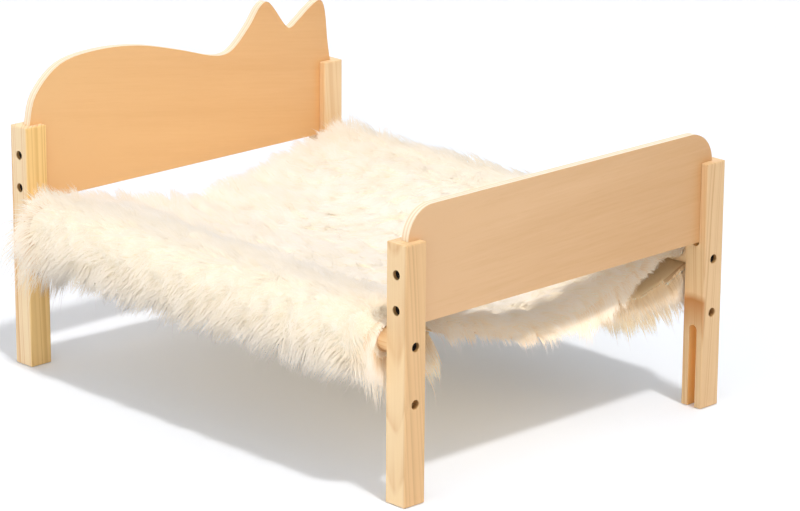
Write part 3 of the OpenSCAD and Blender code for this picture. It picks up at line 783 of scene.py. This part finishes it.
def pile(name, grid, normals, span, width, rng, material, places=None, longer=1.0, draw_share=1.0,
         hang=PILE_HANG, depth=ROOT_DEPTH):
    """One piece of pile: strands rooted on part of a half's coat, from span[0] to span[1] across, and drawn
    to tufts."""
    length = 2 * SLING_HALF_L
    if places is None:
        places = jittered(STRAND_PITCH, width, length, rng)[0]
    tufts, counts = jittered(TUFT_PITCH, width, length, rng)
    tuft_of = nearest_tuft(places, tufts, counts, np.array([width, length]))
    count = len(places)

    def rooted(p):
        spots = np.stack([span[0] + p[:, 0] * (span[1] - span[0]), p[:, 1]], 1)
        normal = unit(sample(normals, spots))
        return sample(grid, spots) - depth * normal, normal

    tuft_lean = rng.normal(0, TUFT_LEAN, (len(tufts), 3))
    tuft_length = longer * STRAND_L * rng.uniform(*TUFT_LENGTH, len(tufts))
    tuft_path = strand_paths(*rooted(tufts), tuft_length, tuft_lean)
    root, normal = rooted(places)
    stray = rng.uniform(0, 1, count) < STRAY_SHARE
    varied = tuft_length[tuft_of] * rng.uniform(*STRAND_LENGTH, count)
    strand_length = varied * np.where(stray, STRAY_LENGTH, 1.0)
    strand_lean = tuft_lean[tuft_of] + rng.normal(0, STRAND_LEAN, (count, 3))
    path = strand_paths(root, normal, strand_length, strand_lean)
    loose = stray | (rng.uniform(0, 1, count) < LOOSE_SHARE)
    pull = np.where(loose, LOOSE_PULL, rng.uniform(*TUFT_PULL, count))
    draw = draw_share * pull[:, None] * np.linspace(0, 1, STRAND_RINGS)[None] ** PULL_POWER
    path += draw[..., None] * (tuft_path[tuft_of] - path)
    hanging = np.clip(-normal[:, 2], 0, 1)
    rounding = ROUND_TOP + (ROUND_BELOW + ROUND_HEAD * at_head(root[:, 1])) * hanging
    return strand_mesh(name, held_back(path, hang), strand_facing(root, normal), rounding, rng, material)


def strand_faces(rings, per):
    """Faces of one strand with rings of points up to its tip, which is the last of its points."""
    faces = []
    for r in range(rings - 2):
        for k in range(STRAND_SIDES):
            m = (k + 1) % STRAND_SIDES
            base, top = r * STRAND_SIDES, (r + 1) * STRAND_SIDES
            faces.append((base + k, base + m, top + m, top + k))
    last = (rings - 2) * STRAND_SIDES
    return faces + [(last + k, last + (k + 1) % STRAND_SIDES, per - 1) for k in range(STRAND_SIDES)]


def strand_mesh(name, path, facing, rounding, rng, material):
    """Three-sided tapered strands along paths as one mesh, shaded softly like the coat that they stand on, or
    more as round strands where they hang, with the share along each strand and a tone of its own."""
    count, rings = path.shape[:2]
    along = unit(path[:, -1] - path[:, 0])
    spin = rng.normal(0, 1, (count, 3))
    a = unit(spin - along * np.sum(spin * along, 1, keepdims=True))
    b = np.cross(along, a)
    t = np.linspace(0, 1, rings)
    half = STRAND_W / 2 * (1 - STRAND_TAPER * t[:-1] ** TAPER_POWER)
    turns = np.arange(STRAND_SIDES) * 2 * math.pi / STRAND_SIDES
    ring = a[:, None] * np.cos(turns)[None, :, None] + b[:, None] * np.sin(turns)[None, :, None]
    body = path[:, :-1, None] + ring[:, None] * half[None, :, None, None]
    points = np.concatenate([body.reshape(count, -1, 3), path[:, -1:]], 1)
    per = points.shape[1]
    faces = strand_faces(rings, per)
    corners = (np.arange(count) * per)[:, None] + np.concatenate(faces)[None]
    sizes = np.tile([len(f) for f in faces], count)
    mesh = bpy.data.meshes.new(name)
    mesh.vertices.add(count * per)
    mesh.vertices.foreach_set("co", points.astype(np.float32).ravel())
    mesh.loops.add(corners.size)
    mesh.loops.foreach_set("vertex_index", corners.astype(np.int32).ravel())
    mesh.polygons.add(len(sizes))
    mesh.polygons.foreach_set("loop_start", np.concatenate([[0], np.cumsum(sizes)[:-1]]).astype(np.int32))
    mesh.update(calc_edges=True)
    mesh.polygons.foreach_set("use_smooth", np.ones(len(sizes), bool))
    tilt = np.concatenate([np.tile(ring, (1, rings - 1, 1)), along[:, None]], 1)
    soft = unit(facing[:, None] + rounding[:, None, None] * tilt)
    mesh.normals_split_custom_set_from_vertices(soft.reshape(-1, 3).tolist())
    share = np.concatenate([np.repeat(t[:-1], STRAND_SIDES), t[-1:]])
    write_attribute(mesh, "along", np.tile(share, count))
    write_attribute(mesh, "tone", np.repeat(rng.uniform(0, 1, count), per))
    bake_map(mesh, faces, rings, count)
    made = add_object(name, mesh, material)
    made.visible_shadow = False
    return made


def write_attribute(mesh, name, values):
    attribute = mesh.attributes.new(name, "FLOAT", "POINT")
    attribute.data.foreach_set("value", values.astype(np.float32))


def bake_map(mesh, faces, rings, count):
    """UV map with a cell of its own for each strand, in which its sides lie beside each other."""
    cells = math.ceil(math.sqrt(count))

    def in_cell(step, steps):
        return MAP_EDGE + (1 - 2 * MAP_EDGE) * step / steps

    inside = []
    for number, face in enumerate(faces):
        row, side = divmod(number, STRAND_SIDES)
        left, right = in_cell(side, STRAND_SIDES), in_cell(side + 1, STRAND_SIDES)
        low, high = in_cell(row, rings - 1), in_cell(row + 1, rings - 1)
        square = [(left, low), (right, low), (right, high), (left, high)]
        inside += square if len(face) == 4 else square[:2] + [((left + right) / 2, high)]
    cell = np.stack([np.arange(count) % cells, np.arange(count) // cells], 1)
    spots = (cell[:, None] + np.array(inside)[None]) / cells
    layer = mesh.uv_layers.new(name="OFBake")
    layer.data.foreach_set("uv", spots.astype(np.float32).ravel())


# The sling's two halves
plush_coat = plush("plush_pile", root=(248, 234, 210), tip=(254, 245, 235))
# Deeper, warmer copies of the pile for the fringe and the flaps: painted warm shade at the open ends and
# under the wide pocket's mouth
plush_edge_shaded = plush("plush_pile_edge_shaded", root=(226, 193, 152), tip=(254, 245, 232))
plush_flap_shaded = plush("plush_pile_flap_shaded", root=(236, 202, 156), tip=(255, 241, 211))
# A slightly deeper copy of the pile on the sleeves: painted shade, set against the side lamp's light on the
# near sleeve
plush_sleeve_shaded = plush("plush_pile_sleeve_shaded", root=(245, 230, 205), tip=(251, 240, 225))
plush_base = undercoat("plush_undercoat")
suede = backing("plush_backing")
ZONES = {"bed": plush_coat, "slope": plush_coat, "sleeve": plush_sleeve_shaded, "flap": plush_flap_shaded}


def let_sag(piece):
    """Bakes a sling piece's transform into its mesh."""
    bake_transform(piece)


def make_half(label, side):
    """Cloth, undercoat, pile and fringe of one half of the sling."""
    rng = np.random.default_rng(SEED + (1 if side > 0 else 0))
    grid, hollow, lengths = cloth_grid(side)
    normals = outward(grid, side)
    outer, inner = grid + normals * CLOTH_T / 2, grid - normals * CLOTH_T / 2
    cloth = closed_sheet(f"sling_cloth_{label}", outer, inner, side, suede)
    coat = outer + normals * coat_thickness(grid, normals, hollow)[..., None]
    base = closed_sheet(f"pile_base_{label}", coat, outer + normals * COAT_GAP, side, plush_base)
    pieces = [cloth, base]
    standing = unit(normals + COAT_TILT * outward(coat, side))
    bed_end, sleeve_end, width = lengths
    starts = (0.0, bed_end / 2, bed_end, sleeve_end, width)
    for (zone, material), start, stop in zip(ZONES.items(), starts, starts[1:]):
        span = (start / width, stop / width)
        pieces.append(pile(f"pile_{zone}_{label}", coat, standing, span, stop - start, rng, material))
    pieces.append(pile(f"pile_fringe_{label}", coat, normals, (0, 1), width, rng, plush_edge_shaded,
                       places=end_places(END_STRANDS, rng), longer=END_LENGTH, draw_share=END_DRAW,
                       hang=END_HANG, depth=END_DEPTH))
    for piece in pieces:
        let_sag(piece)
    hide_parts(f"{label}_sleeve", f"{label}_flap", "sling_bed")


make_half("left", -1)
make_half("right", 1)


# Floor, light and camera
def seen_share(tree):
    """Output that is 1 for the camera's rays and for those that gloss and glass pass on, and 0 for light."""
    rays = tree.nodes.new("ShaderNodeLightPath")
    total = rays.outputs["Is Camera Ray"]
    for kind in ("Is Glossy Ray", "Is Transmission Ray"):
        either = tree.nodes.new("ShaderNodeMath")
        either.operation = "MAXIMUM"
        tree.links.new(total, either.inputs[0])
        tree.links.new(rays.outputs[kind], either.inputs[1])
        total = either.outputs[0]
    return total


def make_stage():
    bpy.ops.mesh.primitive_plane_add(size=FLOOR_SIZE, location=(0, 0, -FLOOR_DROP))
    floor = bpy.context.object
    floor.name = "floor"
    n = Nodes("floor_paper")
    colour = n.mix(n.spread(n.noise(n.place(), scale=3.0), *NOISE_RANGE), *FLOOR_TONES)
    n.finish(Base_Color=colour, Roughness=0.95)
    surface = n.shader.outputs[0]
    glow = n.add("ShaderNodeEmission", {"Color": WHITE, "Strength": FLOOR_GLOW})
    both = n.add("ShaderNodeAddShader", {0: surface, 1: glow.outputs[0]})
    pick = n.add("ShaderNodeMixShader", {0: seen_share(n.tree), 1: surface, 2: both.outputs[0]})
    n.tree.links.new(pick.outputs[0], n.tree.nodes["Material Output"].inputs["Surface"])
    floor.data.materials.append(n.material)


def make_world():
    world = bpy.data.worlds.new("studio")
    bpy.context.scene.world = world
    world.use_nodes = True
    tree = world.node_tree
    sky = tree.nodes["Background"]
    sky.inputs["Color"].default_value = (*COOL, 1)
    sky.inputs["Strength"].default_value = WORLD_STRENGTH
    white = tree.nodes.new("ShaderNodeBackground")
    white.inputs["Color"].default_value = WHITE
    pick = tree.nodes.new("ShaderNodeMixShader")
    tree.links.new(seen_share(tree), pick.inputs[0])
    tree.links.new(sky.outputs[0], pick.inputs[1])
    tree.links.new(white.outputs[0], pick.inputs[2])
    tree.links.new(pick.outputs[0], tree.nodes["World Output"].inputs["Surface"])


def add_lamp(name, kind, place, target, energy, **settings):
    data = bpy.data.lights.new(name, kind)
    data.energy = energy
    data.cycles.use_multiple_importance_sampling = False
    for key, value in settings.items():
        setattr(data, key, value)
    lamp = bpy.data.objects.new(name, data)
    lamp.location = place
    lamp.rotation_mode = "QUATERNION"
    lamp.rotation_quaternion = (Vector(target) - Vector(place)).to_track_quat("-Z", "Y")
    bpy.context.scene.collection.objects.link(lamp)


def make_camera():
    yaw, pitch, roll = (math.radians(a) for a in (CAMERA_YAW, CAMERA_PITCH, CAMERA_ROLL))
    forward = Vector((-math.sin(yaw) * math.cos(pitch), math.cos(yaw) * math.cos(pitch), -math.sin(pitch)))
    level = Vector((math.cos(yaw), math.sin(yaw), 0))
    rise = level.cross(forward)
    right = math.cos(roll) * level + math.sin(roll) * rise
    up = math.cos(roll) * rise - math.sin(roll) * level
    data = bpy.data.cameras.new("camera")
    data.sensor_width = SENSOR_W
    data.lens = FOCAL_PX * SENSOR_W / IMAGE_W
    camera = bpy.data.objects.new("camera", data)
    turned = Matrix((right, up, -forward)).transposed()
    camera.matrix_world = Matrix.Translation(CAMERA_PLACE) @ turned.to_4x4()
    bpy.context.scene.collection.objects.link(camera)
    bpy.context.scene.camera = camera


make_stage()
make_world()
add_lamp("key", "SUN", KEY_PLACE, ORIGIN, KEY_STRENGTH, angle=KEY_ANGLE, color=WARM)
add_lamp("dome", "SUN", DOME_PLACE, ORIGIN, DOME_STRENGTH, angle=DOME_ANGLE, color=COOL)
add_lamp("fill", "AREA", FILL_PLACE, FILL_TARGET, FILL_POWER, size=FILL_SIZE, color=WARM)
make_camera()
bpy.context.scene.view_settings.view_transform = "Standard"
